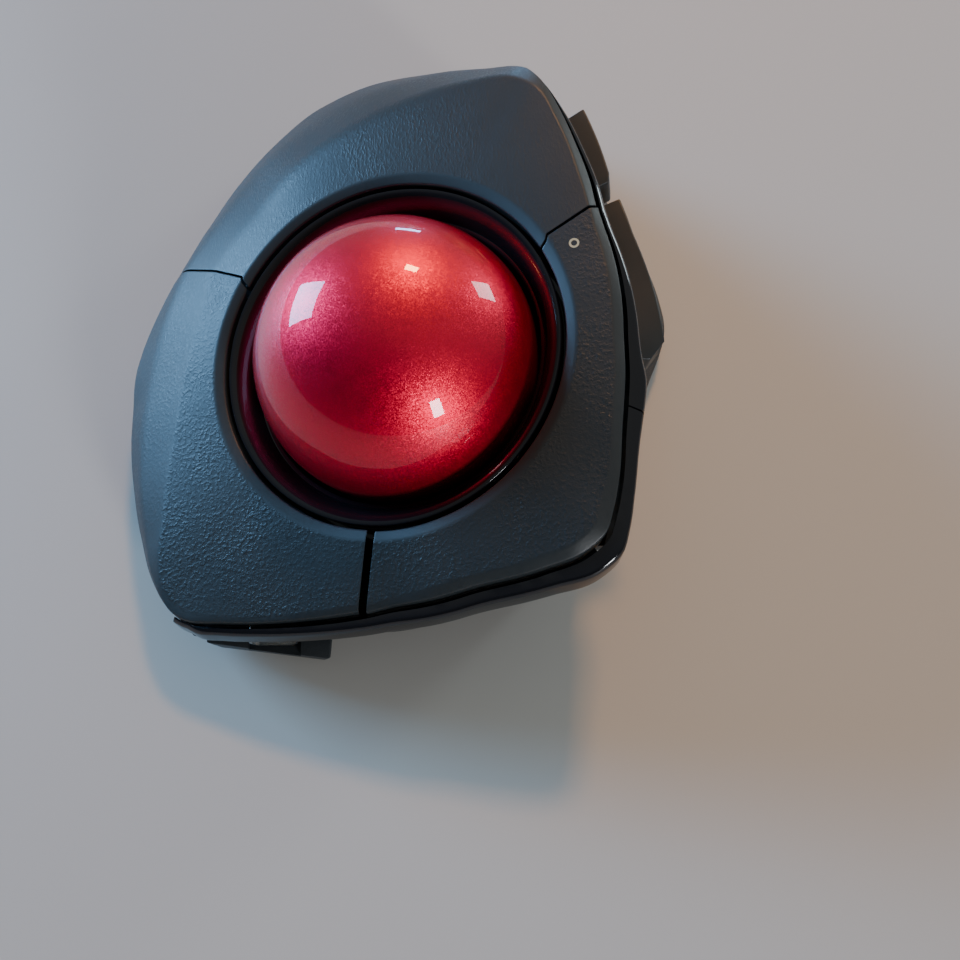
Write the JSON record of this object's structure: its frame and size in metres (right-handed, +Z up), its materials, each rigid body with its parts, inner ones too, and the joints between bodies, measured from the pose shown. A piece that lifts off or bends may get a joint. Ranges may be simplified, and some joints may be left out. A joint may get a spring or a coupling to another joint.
{
  "type": "trackball mouse",
  "caption": "Right-handed wireless trackball mouse: a large ball under the fingers in a funnel ring, broad top buttons, and thumb-side buttons with a tilting scroll wheel.",
  "frame": {"origin": "on the surface the mouse stands on, under the middle of its outline", "axes": "+Z up, +Y from the charging port towards the palm end, +X towards the thumb side"},
  "size_m": [0.0947, 0.1244, 0.0479],
  "materials": {
    "charcoal_plastic": "fine leather-like moulded grain, smooth rims",
    "case_plastic": "fine satin spark-eroded texture",
    "gloss_black": "polished",
    "ball_red": "polished, with fine metallic flakes under a clear coat",
    "steel": "plain",
    "rubber": "matt",
    "board_green": "solder mask",
    "white_plastic": "satin",
    "ruby": "polished synthetic ruby",
    "clear_lens": "clear moulded lens",
    "battery_wrap": "plain printed sleeve"
  },
  "bodies": {
    "case": {"palm_cover": "charcoal_plastic", "side_band": "gloss_black", "base_case": "case_plastic", "thumb_panel": "case_plastic", "ball_socket": "gloss_black", "ruby_bearing_1": "ruby", "ruby_bearing_2": "ruby", "ruby_bearing_3": "ruby", "bearing_cap_1": "steel", "bearing_cap_2": "steel", "bearing_cap_3": "steel", "sensor_lens": "clear_lens", "sensor_chip": "gloss_black", "sensor_board": "board_green", "right_switch": "case_plastic", "fn1_switch": "case_plastic", "left_switch": "case_plastic", "forward_switch": "case_plastic", "back_switch": "case_plastic", "fn2_switch": "case_plastic", "thumb_pcb": "board_green", "main_pcb": "board_green", "pcb_screw_1": "steel", "pcb_screw_2": "steel", "usb_port": "steel", "usb_tongue": "white_plastic", "aa_battery": "battery_wrap", "battery_tray": "case_plastic", "battery_contact": "steel", "battery_spring": "steel", "case_screw_1": "steel", "case_screw_2": "steel", "case_screw_3": "steel", "case_screw_4": "steel", "foot_1": "rubber", "foot_2": "rubber", "foot_3": "rubber", "foot_4": "rubber", "foot_5": "rubber"},
    "rolling_ball": {"ball": "ball_red"},
    "right_button_body": {"right_button": "charcoal_plastic"},
    "right_plunger_body": {"right_plunger": "white_plastic"},
    "fn1_button_body": {"fn1_button": "charcoal_plastic"},
    "forward_button_body": {"forward_button": "charcoal_plastic"},
    "back_button_body": {"back_button": "charcoal_plastic"},
    "left_button_body": {"left_button": "charcoal_plastic"},
    "left_plunger_body": {"left_plunger": "white_plastic"},
    "fn2_button_body": {"fn2_button": "charcoal_plastic"},
    "wheel_slide": {"wheel_carriage": "case_plastic", "wheel_encoder": "white_plastic"},
    "wheel_rocker": {"wheel_yoke": "case_plastic", "wheel_axle": "steel"},
    "scroll_wheel": {"wheel_tyre": "rubber", "wheel_hub": "case_plastic"},
    "battery_door_body": {"battery_door": "case_plastic"},
    "power_slider_body": {"power_slider": "white_plastic"},
    "mode_slider_body": {"mode_slider": "white_plastic"},
    "pairing_button_body": {"pairing_button": "white_plastic"}
  },
  "joints": [
    {"name": "ball_spin", "type": "hinge", "parent": "case", "child": "rolling_ball", "pos_m": [0, -0.02125, 0.0259], "axis": [1, 0, 0], "continuous": true},
    {"name": "right_button_press", "type": "hinge", "parent": "case", "child": "right_button_body", "pos_m": [-0.02226, -0.05687, 0.011], "axis": [-0.9562, 0.0831, -0.2806], "range_deg": [0, 0.8], "stiffness_Nm_per_rad": 1.2, "springref_deg": -0.57},
    {"name": "right_plunger_press", "type": "slide", "parent": "case", "child": "right_plunger_body", "axis": [0.2728, 0.2298, -0.9342], "range_m": [0, 0.00026]},
    {"name": "fn1_button_press", "type": "hinge", "parent": "case", "child": "fn1_button_body", "pos_m": [0.01737, -0.05392, 0.024], "axis": [-0.9518, -0.133, -0.2763], "range_deg": [0, 0.8], "stiffness_Nm_per_rad": 1.2, "springref_deg": -0.57},
    {"name": "forward_button_press", "type": "slide", "parent": "case", "child": "forward_button_body", "axis": [-0.9769, -0.0631, -0.2042], "range_m": [0, 0.0006], "stiffness_N_per_m": 900, "springref_m": -0.0003},
    {"name": "back_button_press", "type": "slide", "parent": "case", "child": "back_button_body", "axis": [-0.8911, -0.2851, -0.3532], "range_m": [0, 0.0006], "stiffness_N_per_m": 900, "springref_m": -0.0003},
    {"name": "left_button_press", "type": "slide", "parent": "case", "child": "left_button_body", "axis": [-0.9646, 0.2399, -0.1096], "range_m": [0, 0.0007], "stiffness_N_per_m": 900, "springref_m": -0.0003},
    {"name": "left_plunger_press", "type": "slide", "parent": "case", "child": "left_plunger_body", "axis": [-0.9646, 0.2399, -0.1096], "range_m": [0, 0.00026]},
    {"name": "fn2_button_press", "type": "slide", "parent": "case", "child": "fn2_button_body", "axis": [-0.8063, -0.3677, -0.4634], "range_m": [0, 0.0006], "stiffness_N_per_m": 900, "springref_m": -0.0003},
    {"name": "wheel_press", "type": "slide", "parent": "case", "child": "wheel_slide", "axis": [-0.8922, -0.1072, -0.4387], "range_m": [0, 0.0005], "stiffness_N_per_m": 1500, "springref_m": -0.0004},
    {"name": "wheel_tilt", "type": "hinge", "parent": "wheel_slide", "child": "wheel_rocker", "pos_m": [0.03007, 0.00042, 0.01981], "axis": [-0.2047, 0.9619, 0.1813], "range_deg": [-2.8, 2.8], "stiffness_Nm_per_rad": 0.3},
    {"name": "wheel_spin", "type": "hinge", "parent": "wheel_rocker", "child": "scroll_wheel", "pos_m": [0.03007, 0.00042, 0.01981], "axis": [-0.4026, -0.2516, 0.8801], "continuous": true},
    {"name": "battery_door_swing", "type": "hinge", "parent": "case", "child": "battery_door_body", "pos_m": [0.0008, 0.0158, 0.0016], "axis": [-1, 0, 0], "range_deg": [0, 80]},
    {"name": "power_slide", "type": "slide", "parent": "case", "child": "power_slider_body", "axis": [1, 0, 0], "range_m": [0, 0.0038]},
    {"name": "mode_slide", "type": "slide", "parent": "case", "child": "mode_slider_body", "axis": [1, 0, 0], "range_m": [-0.0019, 0.0019]},
    {"name": "pairing_press", "type": "slide", "parent": "case", "child": "pairing_button_body", "axis": [0, 0, 1], "range_m": [0, 0.0005], "stiffness_N_per_m": 600, "springref_m": -0.0003}
  ],
  "couplings": [
    {"joint": "right_plunger_press", "follows": "right_button_press", "m_per_rad": 0.0179},
    {"joint": "left_plunger_press", "follows": "left_button_press", "ratio": 0.357}
  ]
}
